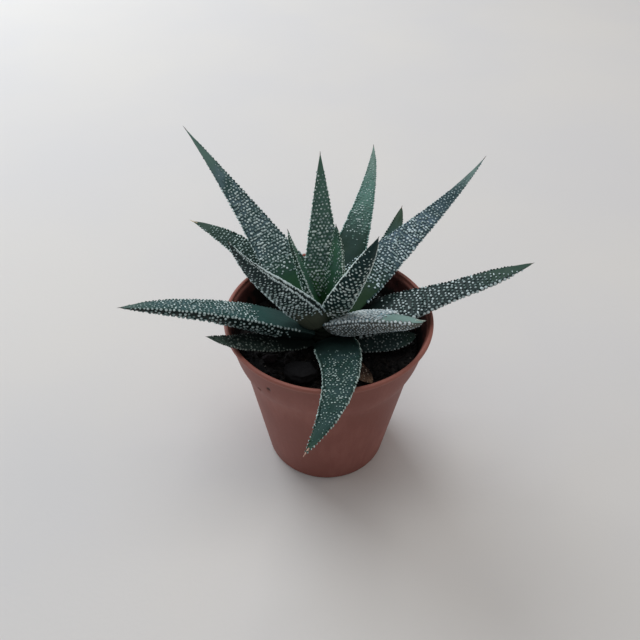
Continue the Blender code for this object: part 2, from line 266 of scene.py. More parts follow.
leaves = {
    "back_left": dict(
        az=134, lift=34, bend=5, sway=5, tipSway=6, roll=-8, length=60.8, width=15.5, z=47.5, out=3.7,
        taper=1.1, fullness=1.2, root=(40, 84, 52), body=(56, 86, 84), tip=(100, 132, 123), tipStart=0.68,
        bloom=0.42, bloomStart=0.3,
        innerDots=dict(start=0.22, end=0.72, slant=-0.1, pitch=0.88, size=0.37, ridge=0.25),
        beads=[dict(edge=1, end=0.8, pitch=0.98, size=0.36), dict(edge=-1, end=0.92, pitch=0.98, size=0.36)],
        dotColour=(216, 236, 236)),
    # its colours are darkened as painted shade: the leaf lies in shade
    "back_left_low": dict(
        az=132, lift=24, bend=-10, tipBend=-12, sway=16, tipSway=8, roll=-12, length=48.4, width=10.5, z=43.5,
        belly=0.2, taper=1.6, fullness=0.8, root=(36, 60, 56), body=(42, 70, 62), tip=(50, 76, 64),
        bloom=0.03, innerDots=dict(start=0.1, end=0.86, pitch=0.96, size=0.32),
        beads=[dict(edge=1, size=0.36), dict(edge=-1, end=0.8, size=0.36)], dotColour=(206, 230, 226),
        spine=1.6, spineColour=(226, 210, 178), spineWidth=0.2),
    # its bellyFoot colour is lifted as painted light: the foot of its belly lies in shade between the leaves
    "inner_left": dict(
        az=226, lift=60, bend=-33, tipBend=34, sway=21, tipSway=6, roll=38, length=54, width=10.2, z=48.6,
        out=3.7, belly=0.3, taper=1.45, fullness=1.25, root=(84, 86, 80), tip=(52, 72, 66),
        bellyColour=(38, 54, 56), bellyFoot=(100, 108, 92), tipStart=0.85, innerDots=dict(start=0.2),
        bellyDots=dict(start=0.16, end=0.97, fade=0.1, reach=0.82, pitch=1.03, size=0.36,
                       ridge=0.05, scatter=1.3),
        beads=[dict(edge=1, end=0.95, pitch=0.72, size=0.42, lengthwise=1.4),
               dict(edge=1, belly=True, inset=0.12, end=0.92, pitch=0.7, size=0.31, lengthwise=1.3),
               dict(edge=-1, end=0.96, pitch=1.1, size=0.42)], dotColour=(224, 244, 248),
        dullDot=(150, 174, 172)),
    # its greens are partly its own and partly lifted as painted light on the crown
    "bud_left": dict(
        az=178, lift=72, bend=-8, tipBend=12, roll=6, length=26.4, width=6.8, z=50.3, out=1.2, belly=0.34,
        taper=1.5, fullness=0.8, root=(68, 127, 85), body=(68, 113, 90), tip=(73, 104, 94),
        bellyColour=(44, 70, 58), innerDots=dict(start=0.5, end=0.95, middle=0.8),
        bellyDots=dict(start=0.1, end=0.96, pitch=0.98, size=0.35),
        beads=[dict(edge=1, start=0.05, end=0.96, pitch=0.66, size=0.28, lengthwise=1.4),
               dict(edge=-1, size=0.28)], dotColour=(228, 244, 240)),
    # its greens are partly its own and partly lifted as painted light on the crown
    "centre_back": dict(
        az=99, lift=77, length=41.2, width=11.5, z=49.5, out=3, taper=1.2, tipRound=0.32, root=(89, 144, 96),
        body=(88, 124, 110), tip=(87, 121, 105), tipStart=0.8, bloom=0.06,
        innerDots=dict(start=0.06, end=0.88, pitch=0.93, size=0.37, ridge=0.1, scatter=1.3),
        beads=[dict(edge=1, pitch=1, size=0.35), dict(edge=-1, pitch=1, size=0.35)],
        dotColour=(226, 244, 240)),
    # its greens are partly its own and partly lifted as painted light where the crown lies in shade
    "bud_right": dict(
        az=11, lift=80.5, bend=6, tipBend=10, roll=25, length=25.9, width=8.5, z=51.3, out=0.8, belly=0.32,
        fullness=0.75, root=(64, 114, 75), body=(64, 112, 82), tip=(52, 82, 71), bellyColour=(34, 58, 44),
        innerDots=dict(start=0.1, end=0.97, middle=0.3, pitch=0.95, size=0.31),
        beads=[dict(edge=-1, end=0.95, pitch=0.76, size=0.32, lengthwise=1.2), dict(edge=1, size=0.26)],
        dotColour=(226, 244, 238)),
    "back": dict(
        az=71, lift=34, bend=-22, tipBend=-11, tipSway=19, roll=7, length=61.6, width=13, z=46, out=4.2,
        taper=1, fullness=1.1, root=(26, 58, 46), body=(93, 134, 124), tip=(118, 144, 136), rootEnd=0.56,
        tipStart=0.66, bloom=0.06,
        innerDots=dict(start=0.4, end=0.94, fade=0.24, pitch=0.86, size=0.27, ridge=0.3),
        beads=[dict(edge=1, size=0.34), dict(edge=-1, size=0.36)], dullDot=(110, 146, 136)),
    "back_right_low": dict(
        az=50, lift=20.5, sway=14, tipSway=14, length=42.8, width=9, z=43, fullness=0.7, body=(42, 82, 78),
        tip=(58, 80, 62), innerDots=dict(start=0.1, end=0.7, middle=0.3, pitch=1, size=0.28),
        beads=[dict(edge=1, size=0.34), dict(edge=-1, size=0.34)], spine=1.2, spineColour=(96, 76, 60)),
    # its paleEdge is partly the real pale margin line and partly painted light on a margin that lies in shade
    "inner_right": dict(
        az=-48, lift=67, bend=-11, tipBend=11, sway=-7, roll=-25, length=37.7, width=8, z=49.9, out=2.4,
        belly=0.32, taper=1.8, fullness=0.9, root=(28, 46, 36), tip=(45, 72, 68), bellyColour=(28, 55, 55),
        bellyFoot=(74, 92, 74), tipStart=0.8, paleEdge=0.9,
        bellyDots=dict(start=0.06, end=0.84, fade=0.2, pitch=1.18, size=0.39, ridge=0.12, scatter=1.4),
        beads=[dict(edge=-1, end=0.86, pitch=0.66, size=0.32, lengthwise=1.5),
               dict(edge=-1, inset=0.16, end=0.8, pitch=0.7, size=0.28, lengthwise=1.3),
               dict(edge=1, belly=True, inset=0.07, start=0.02, end=0.92, pitch=0.56, size=0.4,
                    lengthwise=1.8)],
        dotColour=(236, 250, 248), dullDot=(176, 200, 196), spineColour=(40, 50, 46)),
    "back_right": dict(
        az=44, lift=25, bend=-24, tipBend=21.5, sway=-12, tipSway=20, roll=14, length=63.4, width=13.5,
        z=49.4, out=4.1, belly=0.24, taper=1.2, fullness=1.3, root=(36, 66, 42), body=(54, 80, 86),
        tip=(123, 150, 144), tipStart=0.74, bloom=0.5, bloomStart=0.3, bloomEnd=0.6,
        innerDots=dict(start=0.15, end=0.84, slant=-0.1, pitch=0.9, size=0.36, ridge=0.3),
        beads=[dict(edge=1, end=0.75, size=0.3), dict(edge=-1, end=0.96, pitch=0.98, size=0.38)],
        dotColour=(212, 232, 236)),
    # its colours are darkened as painted shade on its shaded side
    "right": dict(
        az=3, lift=22, bend=1, sway=2, length=52, width=14.5, z=44.5, out=4.5, taper=1.5, fullness=1.2,
        tipRound=3, root=(20, 32, 30), body=(24, 44, 44), tip=(48, 74, 62), tipStart=0.66, bloom=0,
        innerDots=dict(start=0.24, end=0.88, slant=-0.18, pitch=1.1, size=0.36, ridge=0.1, scatter=1.2),
        beads=[dict(edge=1, size=0.28), dict(edge=-1, end=0.95, pitch=1.2, size=0.52)],
        dotColour=(206, 224, 226), dullDot=(110, 132, 130)),
    "front_right_short": dict(
        az=-30, lift=36, bend=-20, sway=-8, roll=-20, length=27.7, width=13.5, z=48.5, out=3.6, belly=0.36,
        taper=1.9, fullness=0.6, tipRound=0.8, notch=0.5, root=(122, 162, 178), body=(156, 198, 212),
        tip=(116, 144, 134), bellyColour=(104, 104, 98), tipStart=0.5, bloom=0.7, bloomStart=0, bloomEnd=0.55,
        innerDots=dict(start=0.05, end=0.6, reach=0.98, size=0.35, ridge=0.25),
        bellyDots=dict(start=0.04, end=0.97, reach=0.9, pitch=0.8, size=0.23),
        beads=[dict(edge=1, end=0.56), dict(edge=-1, start=0.06, end=0.92, pitch=1.02, size=0.38),
               dict(edge=-1, belly=True, inset=0.05, start=0.06, end=0.94, pitch=0.8, size=0.27)],
        dotColour=(240, 252, 255), dullDot=(176, 196, 204), footColour=(112, 122, 124),
        spineColour=(186, 204, 194), spineTurn=50, spineWidth=0.45),
    # its dark root colour is painted shade where the leaf above shades its base
    "front": dict(
        az=-72, lift=27, bend=-28, sway=-47.5, roll=8, length=50.3, width=11.7, z=44.2, fullness=0.87,
        root=(26, 42, 40), body=(30, 60, 54), tip=(44, 80, 56), tipStart=0.86, bloom=0.08,
        innerDots=dict(start=0.3, end=0.88, fade=0.3, middle=0.1, size=0.24, ridge=0.05, scatter=1.5),
        beads=[dict(edge=1, end=0.97, pitch=0.95, size=0.42), dict(edge=-1, end=0.97, pitch=0.95, size=0.42)],
        dotColour=(186, 208, 204), dullDot=(64, 102, 94), spine=1.3, spineColour=(206, 170, 152),
        spineWidth=0.2),
    # its dark bellyColour is painted shade on the shaded underside
    "left": dict(
        az=194, lift=29, bend=-14, tipBend=-5, tipSway=11, roll=17, length=50, width=12.5, z=45.5, out=4.5,
        belly=0.38, taper=1.9, fullness=0.8, root=(58, 80, 78), body=(38, 74, 70), tip=(70, 94, 86),
        bellyColour=(20, 32, 30), tipStart=0.82, bloomStart=0.35, bloomEnd=0.85,
        innerDots=dict(start=0.32, end=0.88, slant=0.1, pitch=0.98, size=0.28),
        bellyDots=dict(start=0.15, end=0.94, pitch=1.15, size=0.37, ridge=0),
        beads=[dict(edge=1, end=0.96, pitch=1, size=0.38), dict(edge=-1)]),
    # its colours and dots are darkened as painted shade under the left leaf
    "front_left_low": dict(
        az=209, lift=12, bend=15, tipBend=20, sway=10, roll=4, length=32.5, width=10, z=43, out=4.8,
        belly=0.12, taper=1.8, fullness=0.7, root=(29, 38, 35), body=(32, 44, 41), tip=(64, 81, 72), bloom=0,
        innerDots=dict(start=0.3, end=0.95, pitch=1.15, size=0.26, scatter=3), dotColour=(124, 136, 130),
        dullDot=(60, 70, 66)),
    # its colours and dots are lifted as painted light: the leaf lies in shade under front_right_short
    "right_low": dict(
        az=-17, lift=-4, bend=12, tipBend=14, sway=14, tipSway=16, roll=6, length=20.5, width=9, z=42.8,
        out=4.8, belly=0.2, taper=1.6, fullness=0.5, root=(34, 46, 42), body=(55, 76, 76), tip=(50, 71, 63),
        bloom=0, innerDots=dict(start=0.3, end=1, pitch=1.05, size=0.24, ridge=0.1, scatter=3),
        dotColour=(196, 212, 212), dullDot=(128, 146, 146)),
}
leafGrid = dict(along=84, around=36, end=0.998, lineSteps=400, crown=0.12, bellyPower=1.3, rootSpan=0.2,
                roundSpan=(0.55, 0.9), notchSpan=(0.54, 0.66), notchSide=(0.2, 0.9), uneven=0.09,
                unevenSize=2.2)
leafTip = dict(out=0.8, sunk=0.15, rings=10, sides=8, least=0.015)


def leafEnd(leaf):
    # the share of the length where the green ends: the dry point's outer part stands beyond it
    return 1 - leafTip["out"] * leaf["spine"] / leaf["length"]


def leafLine(leaf):
    # the middle line is the running sum of a direction lifted by lift + bend u + tipBend u2 degrees and
    # turned by az + sway u + tipSway u2; the half width is width/2 (1 - u^taper)^fullness, narrowed at the
    # root, plus tipRound sqrt(1 - u) near the tip
    u = np.linspace(0, 1, leafGrid["lineSteps"])
    turn = math.radians(leaf["az"])

    def heading(u):
        up = np.radians(leaf["lift"] + leaf["bend"] * u + leaf["tipBend"] * u * u)
        way = np.radians(leaf["az"] + leaf["sway"] * u + leaf["tipSway"] * u * u)
        return np.stack([np.cos(up) * np.cos(way), np.cos(up) * np.sin(way), np.sin(up)], -1), way

    step = leaf["length"] / (len(u) - 1)
    steps = heading((u[1:] + u[:-1]) / 2)[0] * step
    root = np.array([plantX + leaf["out"] * math.cos(turn), leaf["out"] * math.sin(turn), leaf["z"]])
    middle = root + np.concatenate([np.zeros((1, 3)), np.cumsum(steps, 0)])
    ahead, way = heading(u)
    level = np.stack([-np.sin(way), np.cos(way), 0 * way], -1)
    upright = np.cross(ahead, level)
    roll = math.radians(leaf["roll"])
    grown = np.minimum(u / leafEnd(leaf), 1)
    half = leaf["width"] / 2 * (1 - grown ** leaf["taper"]) ** leaf["fullness"]
    half = half * (leaf["rootWidth"] + (1 - leaf["rootWidth"]) * ease(u, 0, leafGrid["rootSpan"]))
    half = half + leaf["tipRound"] * ease(u, *leafGrid["roundSpan"]) * np.sqrt(1 - grown)
    return dict(u=u, middle=middle, side=math.cos(roll) * level + math.sin(roll) * upright,
                face=math.cos(roll) * upright - math.sin(roll) * level, half=half, ahead=ahead)


def along(line, name, u):
    # that quantity of the middle line read at u
    values = line[name]
    if values.ndim == 1:
        return np.interp(u, line["u"], values)
    return np.stack([np.interp(u, line["u"], values[:, axis]) for axis in range(3)], -1)


def leafSection(v):
    # height round a leaf as a share of its depth: crown sin v on the inner face, -|sin v|^bellyPower below
    rise = np.sin(v)
    return np.where(rise > 0, leafGrid["crown"] * rise, -np.abs(rise) ** leafGrid["bellyPower"])


def onLeaf(leaf, line, u, v):
    # middle + half cos v side + depth section(v) face, and v runs once round from the left margin over the
    # inner face; a notch narrows the left margin near the tip
    half = along(line, "half", u)
    depth = 2 * leaf["belly"] * half
    across = np.cos(v)
    notch = leaf["notch"] * ease(u, *leafGrid["notchSpan"]) * ease(across, *leafGrid["notchSide"])
    return (along(line, "middle", u) + (half * (across * (1 - notch)))[..., None] * along(line, "side", u)
            + (depth * leafSection(v))[..., None] * along(line, "face", u))


def leafSkin(leaf, line):
    # the leaf's own closed surface on a grid of u along and v round, slightly uneven short of its tip
    u, v = np.meshgrid(np.linspace(0, leafEnd(leaf) * leafGrid["end"], leafGrid["along"]),
                       circle(leafGrid["around"]), indexing="ij")
    seed = int(leaf["az"]) % 50 + 3
    uneven = lumps(u * leaf["length"], v * 3, leafGrid["unevenSize"], seed) * ease(u, 1.0, 0.9)
    points = onLeaf(leaf, line, u, v) + (leafGrid["uneven"] * uneven)[..., None] * along(line, "face", u)
    return tube(points, 0, along=u, across=np.cos(v), inner=np.sin(v))


def dotSpots(leaf, line, field, bellySide, dice):
    # rows a pitch apart along the leaf and spots a pitch apart across it, every other row moved half a
    # pitch; each spot strays at random and by a slow wave, and fewer are kept where the field fades
    field = {**dotsUsual, **field}
    pitch, length, fade = field["pitch"], leaf["length"], 0.5 * field["fade"]
    samples, mostColumns, wave, waveSize, fullHalf = 200, 30, 0.36, 2.6, 3
    v = np.linspace(math.pi, 2 * math.pi if bellySide else 0, samples)
    height = 2 * leaf["belly"] * leafSection(v)
    arc = np.concatenate([[0], np.cumsum(np.hypot(np.diff(np.cos(v)), np.diff(height)))])
    arc = arc - arc[-1] / 2
    rows = np.arange(0.02 * length, 0.985 * length, pitch)
    columns = np.arange(-mostColumns, mostColumns + 1)
    row, column = np.meshgrid(np.arange(len(rows)), columns, indexing="ij")

    def stray(most):
        return dice.uniform(-most, most, row.shape) * (field["scatter"] * pitch)

    sideways = (column + 0.5 * (row % 2)) * pitch + stray(0.14)
    ahead = rows[row] + stray(0.17)
    ahead = ahead + wave * lumps(sideways, ahead, waveSize, 12)
    u = np.clip(ahead / length, 0, 0.99)
    half = along(line, "half", u)
    place = sideways / np.maximum(half, 0.01)
    inside = np.abs(place) < arc[-1] * field["reach"]
    v = np.interp(place, arc, v)
    x = np.cos(v)
    end = field["end"] + field["slant"] * x + field["bow"] * x * x
    chance = ease(u, field["start"] - fade, field["start"] + fade) * ease(u, end + fade, end - fade)
    if field["middle"] > 0:
        chance = chance * ease(np.abs(x), field["middle"] - 0.2, field["middle"] + 0.1)
    kept = inside & (dice.uniform(0, 1, u.shape) < chance)
    size = field["size"] * dice.uniform(0.75, 1.2, u.shape) * (0.7 + 0.3 * chance)
    size = size * np.clip(half / fullHalf, 0.6, 1)
    ridged = dice.uniform(0, 1, u.shape) < field["ridge"]
    stretch = np.where(ridged, dice.uniform(1.3, 2.0, u.shape), 1)
    return u[kept], v[kept], size[kept], stretch[kept]


def beadSpots(leaf, line, row, dice):
    # one row of beads a pitch apart that follows the margin, or runs where cos v is 1 - inset
    row = {**beadsUsual, **row}
    ahead = np.arange(row["start"], row["end"], row["pitch"] / leaf["length"])
    count, fullHalf = len(ahead), 2.5
    u = ahead + dice.uniform(-0.15, 0.15, count) * row["pitch"] / leaf["length"]
    edge = 0.0 if row["edge"] > 0 else math.pi
    inward = row["edge"] * (-1 if row["belly"] else 1)
    v = edge + inward * math.acos(1 - row["inset"]) + dice.uniform(-0.07, 0.07, count)
    size = row["size"] * dice.uniform(0.8, 1.15, count)
    size = size * np.clip(along(line, "half", u) / fullHalf, 0.55, 1)
    return u, v, size, 1 / (row["lengthwise"] * dice.uniform(0.9, 1.1, count))


def unit(vectors):
    # each vector over its length
    return vectors / np.maximum(np.linalg.norm(vectors, axis=-1, keepdims=True), 1e-9)


def repeated(points, rings, sides, slot, **marks):
    # many small closed shells as one: points[shell, point], ring by ring and then the foot and the top
    count, each = points.shape[:2]
    start = (np.arange(count) * each)[:, None, None]
    faces = [(block[None] + start).reshape(-1, block.shape[1]) for block in tubeFaces(rings, sides)]
    marks = {name: np.broadcast_to(mark, (count, each)).ravel() for name, mark in marks.items()}
    return dict(points=points.reshape(-1, 3), faces=faces, slot=slot, marks=marks)


domeShape = dict(sides=8, radius=(1.18, 1.0, 0.68), height=(-0.35, 0.32, 0.82), rise=(0.0, 0.5, 0.9),
                 foot=0.6, uneven=0.12, tall=(0.8, 1.2))


def domes(leaf, line, u, v, size, stretch, dice, dullest):
    # small raised domes with a sunk foot: rings of points round the leaf's outward direction, drawn out
    # crosswise where stretch is over 1 and lengthwise where it is under 1
    small, most, sides = 1e-3, domeShape["uneven"], domeShape["sides"]
    place = onLeaf(leaf, line, u, v)
    ahead = onLeaf(leaf, line, u + small, v) - place
    around = onLeaf(leaf, line, u, v + small * 5) - onLeaf(leaf, line, u, v - small * 5)
    out, across = unit(np.cross(around, ahead)), unit(around)
    forward = np.cross(out, across)
    turn, share = circle(sides), np.array(domeShape["radius"])[:, None]
    uneven = 1 + dice.uniform(-most, most, (len(u), 1, sides))
    wide = size * np.maximum(stretch, 1)
    long = size / np.where(stretch > 1, stretch ** 0.5, stretch)
    tall = size * dice.uniform(*domeShape["tall"], len(u))
    x = share * np.cos(turn) * wide[:, None, None] * uneven
    y = share * np.sin(turn) * long[:, None, None] * uneven
    z = np.array(domeShape["height"])[:, None] * tall[:, None, None]
    across, forward, lift = (way[:, None, None] for way in (across, forward, out))
    shell = place[:, None, None] + x[..., None] * across + y[..., None] * forward + z[..., None] * lift
    foot = place - out * (size * domeShape["foot"])[:, None]
    top = place + out * tall[:, None]
    rows = shell.reshape(len(u), len(share) * sides, 3)
    points = np.concatenate([rows, foot[:, None], top[:, None]], 1)
    rise = np.concatenate([np.repeat(domeShape["rise"], sides), [0.0, 1.0]])
    return repeated(points, len(share), sides, 1, rise=rise, tone=dice.uniform(dullest, 1, (len(u), 1)))


def leafPoint(leaf, line):
    # the dry point at the tip: rings of radius spineWidth (1 - t^1.5)^0.8 along a line that starts a little
    # inside the green and turns evenly
    t = np.linspace(0, 1, leafTip["rings"])
    sunk = leafTip["sunk"] * leaf["spineWidth"]
    end = np.array(leafEnd(leaf) - sunk)
    base, ahead, side, face = (along(line, name, end) for name in ("middle", "ahead", "side", "face"))
    turn = math.radians(leaf["spineTurn"]) * t[:, None]
    length = leaf["spine"] * leafTip["out"] + sunk * leaf["length"]
    middle = base + t[:, None] * length * (np.cos(turn) * ahead + np.sin(turn) * side)
    radius = leaf["spineWidth"] * (1 - t ** 1.5) ** 0.8 + leafTip["least"]
    angle = circle(leafTip["sides"])
    ring = np.cos(angle)[:, None] * side + np.sin(angle)[:, None] * face
    return tube(middle[:, None] + radius[:, None, None] * ring[None], 2)


skin = dict(wander=0.16, bloom=(132, 156, 176), edge=(150, 180, 152), streak=(30, 46, 44))


def skinLook(name, leaf):
    # green skin: root, body and tip colours along the leaf, a darker belly, a waxy bloom in patches,
    # fine lengthwise grain and faint crosswise swellings
    look = Look(name, 0.15)
    u, x, inner = look.mark("along"), look.mark("across"), look.mark("inner")
    grain = look.noise(1, 3, look.vector(u * (leaf["length"] * 0.25), x * 4, inner * 2))
    streak = look.noise(1, 2, look.vector(u * 2, x * 9, inner * 3))
    swelling = look.noise(1, 2, look.vector(u * (leaf["length"] * 1.3), x * 1.2, inner))
    patch = look.noise(260, 3)
    grown = u + (grain - 0.5) * skin["wander"]
    root, start, end, tip = (leaf[key] for key in ("rootEnd", "bloomStart", "bloomEnd", "tipStart"))
    rooted = look.ease(grown, root - 0.22, root + 0.06)
    colour = look.mix(rooted, leaf["root"], leaf["body"])
    waxy = look.ease(grown, start - 0.08, start + 0.12) * look.ease(grown, end + 0.12, end - 0.08)
    waxy = waxy * look.ease(patch + streak * 0.3, 0.42, 0.82) * leaf["bloom"]
    colour = look.mix(waxy, colour, skin["bloom"])
    tipped = look.ease(grown + x * x * 0.05, tip, tip + 0.18)
    colour = look.mix(tipped * 0.9, colour, leaf["tip"])
    foot = look.ease(grown + x * x * 0.1, 0.28, 0.14)
    below = look.mix(foot, leaf["bellyColour"], leaf.get("bellyFoot", leaf["bellyColour"]))
    colour = look.mix(look.ease(inner, 0.04, -0.22) * 0.92, colour, below)
    # paleEdge paints a pale margin: partly a real pale line, partly painted light
    edge = look.ease(x, 0.9, 0.97) * look.ease(u, 0.95, 0.75) * leaf["paleEdge"]
    colour = look.mix(edge, colour, skin["edge"])
    colour = look.mix(look.ease(streak, 0.5, 0.8) * 0.3, colour, skin["streak"])
    colour = look.mix(look.ease(u, 0.975, 0.998), colour, leaf["spineColour"])
    look.bump(grain * 0.5 + swelling * 0.5 + patch * 0.4, 0.00025, 0.5)
    return look.finish(colour, 0.5 + waxy * 0.35 + (patch - 0.5) * 0.2)


def dotLook(name, leaf):
    # white waxy domes: their foot keeps a darker colour, and some are duller than others
    look = Look(name, 0.25)
    rise, tone = look.mark("rise"), look.mark("tone")
    fine = look.noise(2600, 2)
    bright = look.ease(tone + (fine - 0.5) * 0.5, 0.1, 0.9)
    white = look.mix(bright, leaf["dullDot"], leaf["dotColour"])
    foot = leaf.get("footColour", leaf["body"])
    look.bump(fine, 0.00006, 0.6)
    return look.finish(look.mix(look.ease(rise, 0.42, 0.88), foot, white), 0.62 - tone * 0.16)


def pointLook(name, leaf):
    # dry point with darker fibres
    look = Look(name, 0.3)
    fine = look.noise(1800, 3)
    dry = np.array(leaf["spineColour"])
    colour = look.mix(look.ease(fine, 0.35, 0.7), dry, dry * 0.72)
    look.bump(fine, 0.00005, 0.7)
    return look.finish(colour, 0.6 + fine * 0.2)


def makeLeaves():
    # margin beads come first and are at least half bright, then the dots of both faces
    firstSeed, beadTone, dotTone, count = 100, 0.5, 0, 0
    for index, (node, own) in enumerate(leaves.items()):
        leaf = {**leafUsual, **own}
        dice = np.random.default_rng(firstSeed + index)
        line = leafLine(leaf)
        spots = [(beadSpots(leaf, line, row, dice), beadTone) for row in leaf["beads"]]
        for field in ("innerDots", "bellyDots"):
            spots.append((dotSpots(leaf, line, leaf[field], field == "bellyDots", dice), dotTone))
        shells = [leafSkin(leaf, line)]
        shells += [domes(leaf, line, *spot, dice, dullest) for spot, dullest in spots]
        shells.append(leafPoint(leaf, line))
        count += sum(len(spot[0]) for spot, _ in spots)
        first, *words = node.split("_")
        name = first + "".join(word.title() for word in words) + "Leaf"
        looks = [skinLook(name + "Skin", leaf), dotLook(name + "Dots", leaf), pointLook(name + "Point", leaf)]
        build(name, shells, looks, "leaf_" + node)
    print("leaves done:", len(leaves), "with", count, "dots")


makeLeaves()


# The dried leaf under the front right side: brown, flat and wrinkled
dryLeaf = {**leafUsual, **dict(
    az=-57.5, lift=-1, sway=7, roll=6, length=17, width=5.6, z=41.9, out=4.9, belly=0.15, taper=2.2,
    fullness=0.5, rootWidth=0.8, body=(90, 70, 58), dotColour=(206, 190, 176), dullDot=(150, 130, 112))}
dryShape = dict(along=60, around=28, end=0.995, wrinkle=0.22, dark=(66, 50, 42), light=(132, 106, 86),
                flecks=(196, 182, 166), dots=dict(start=0.1, end=0.95, pitch=1.0, size=0.26, scatter=3))


def dryLook():
    # blotched brown with pale flecks and a rough surface
    look = Look("driedLeaf", 0.25)
    coarse, fine = look.noise(420, 4), look.noise(2400, 2)
    colour = look.mix(look.ease(coarse, 0.35, 0.68), dryShape["dark"], dryShape["light"])
    colour = look.mix(look.ease(fine, 0.62, 0.74) * 0.8, colour, dryShape["flecks"])
    look.bump(coarse + fine * 0.4, 0.0003, 0.9)
    return look.finish(colour, 0.7 + fine * 0.2)


def makeDryLeaf():
    # a leaf surface moved along its face by broad wrinkles and finer ones, with its dots left on it
    dice = np.random.default_rng(61)
    line = leafLine(dryLeaf)
    u = np.linspace(0, dryShape["end"], dryShape["along"])
    u, v = np.meshgrid(u, circle(dryShape["around"]), indexing="ij")
    wrinkle = lumps(u * 16, np.cos(v) * 3, 0.9, 5) + 0.6 * lumps(u * 40, np.cos(v) * 5, 1.1, 9)
    wrinkle = dryShape["wrinkle"] * wrinkle * ease(u, 1, 0.9)
    points = onLeaf(dryLeaf, line, u, v) + wrinkle[..., None] * along(line, "face", u)
    spots = dotSpots(dryLeaf, line, dryShape["dots"], False, dice)
    shells = [tube(points), domes(dryLeaf, line, *spots, dice, 0)]
    build("driedLeaf", shells, [dryLook(), dotLook("driedDots", dryLeaf)], "leaf_dry")


makeDryLeaf()


# Pot: outer corners from the middle of the base to the rim, then down the inside, in mm; a dent is its turn
# in degrees, its height and the pot's radius there
pot = dict(
    corners=[(0, 0), (16.9, 0), (17.25, 0.5), (22.85, 33.9), (24.95, 38.6), (26.6, 47.1), (27.5, 47.6),
             (27.5, 48.7), (26.4, 48.7), (26.4, 47.8), (25.7, 47.1), (24.0, 38.0), (22.4, 37.2), (16.3, 1.1),
             (0, 1.1)],
    fillets=[0, 0.4, 0.4, 4.0, 3.0, 0.5, 0.4, 0.5, 0.45, 0.45, 0.9, 0.5, 0.5, 0.6, 0],
    wallSlope=0.1813, wallFoot=17.61, spacing=0.9, sides=240,
    dents=[(-134, 38.5, 24.76), (-124.5, 42.0, 25.6)], dentRadius=0.55, dentDepth=0.6, dentSpan=2.6,
    dentColumns=17, holes=4, holeCircle=9.5, holeRadius=2.4, holeTurn=45, holeSides=40, cutDepth=4,
    cutHeight=0.5,
    colour=(136, 81, 72), paleColour=(154, 98, 88), darkColour=(129, 74, 64), rimHighlight=(164, 104, 91),
    inside=(86, 49, 45), stain=(28, 22, 20), dentShade=(46, 22, 18))


def dentPlace(turn, height, radius):
    # the middle of one small pit, from its turn round the pot, its height and the pot's radius there
    return np.array([radius * math.cos(math.radians(turn)), radius * math.sin(math.radians(turn)), height])


def potLook():
    # matte moulded plastic: faint clouds, fine pores, a paler rim painted as a highlight, and a stained inner
    # wall painted darker as painted shade, which lies inside radius = wallSlope height + wallFoot; all
    # lengths here are in mm
    look = Look("terracottaPlastic", 0.35)
    east, north, height = (look.node("SeparateXYZ", {}, {0: look.place()}, axis) * (1 / mm) for axis in "XYZ")
    radius = (east * east + north * north) ** 0.5
    cloud, pores = look.noise(55, 4), look.noise(1500, 2)
    streaks = look.noise(1, 2, look.vector(east * 0.7, north * 0.7, height * 0.04))
    colour = look.mix(look.ease(cloud, 0.3, 0.72), pot["darkColour"], pot["colour"])
    colour = look.mix(look.ease(cloud + streaks * 0.4, 0.66, 0.95) * 0.5, colour, pot["paleColour"])
    colour = look.mix(look.ease(pores, 0.62, 0.8) * 0.25, colour, pot["paleColour"])
    # painted highlight: the rim is paler where it catches light
    rim = look.ease(height + (cloud - 0.5) * 2.0, 46.6, 47.8)
    colour = look.mix(rim * 0.5, colour, pot["rimHighlight"])
    # painted shade: the inner wall below the rim takes the darker inside colour
    within = height * pot["wallSlope"] + pot["wallFoot"] - radius
    wall = look.ease(within, 0, 0.4) * look.ease(height, 38.8, 39.4)
    colour = look.mix(wall * look.ease(height, 48.2, 46.8), colour, pot["inside"])
    fall = look.ease(height, 47.0, 40.5)
    stained = wall * look.ease(look.noise(300, 5) + fall * 0.3, 0.52, 0.74)
    colour = look.mix(stained * look.ease(height, 48.0, 46.5), colour, pot["stain"])
    # painted shade darkens each small pit
    for dent in pot["dents"]:
        ends = {0: look.place(), 1: dentPlace(*dent) * mm}
        away = look.node("VectorMath", {"operation": "DISTANCE"}, ends, "Value") * (1 / mm)
        colour = look.mix(look.ease(away, 0.9, 0.4) * 0.9, colour, pot["dentShade"])
    look.bump(pores * 0.5 + cloud * 0.3 + streaks * 0.3, 0.00012, 0.5)
    return look.finish(colour, 0.5 + (cloud - 0.5) * 0.2 + pores * 0.12)


def cutHoles(piece):
    # upright cylinders on a circle, taken out of the base
    cutters = []
    for i in range(pot["holes"]):
        turn = math.radians(pot["holeTurn"] + i * 360 / pot["holes"])
        spot = (pot["holeCircle"] * math.cos(turn), pot["holeCircle"] * math.sin(turn), pot["cutHeight"])
        bpy.ops.mesh.primitive_cylinder_add(vertices=pot["holeSides"], radius=pot["holeRadius"] * mm,
                                            depth=pot["cutDepth"] * mm, location=Vector(spot) * mm)
        cutter = bpy.context.active_object
        cutter.data.transform(cutter.matrix_world)
        cutter.matrix_world = Matrix.Identity(4)
        hole = piece.modifiers.new("drainHole", "BOOLEAN")
        hole.operation, hole.solver, hole.object = "DIFFERENCE", "EXACT", cutter
        cutters.append(cutter)
    view = bpy.context.evaluated_depsgraph_get()
    carved = bpy.data.meshes.new_from_object(piece.evaluated_get(view))
    piece.modifiers.clear()
    piece.data = carved
    carved.shade_smooth()
    for cutter in cutters:
        bpy.data.objects.remove(cutter)


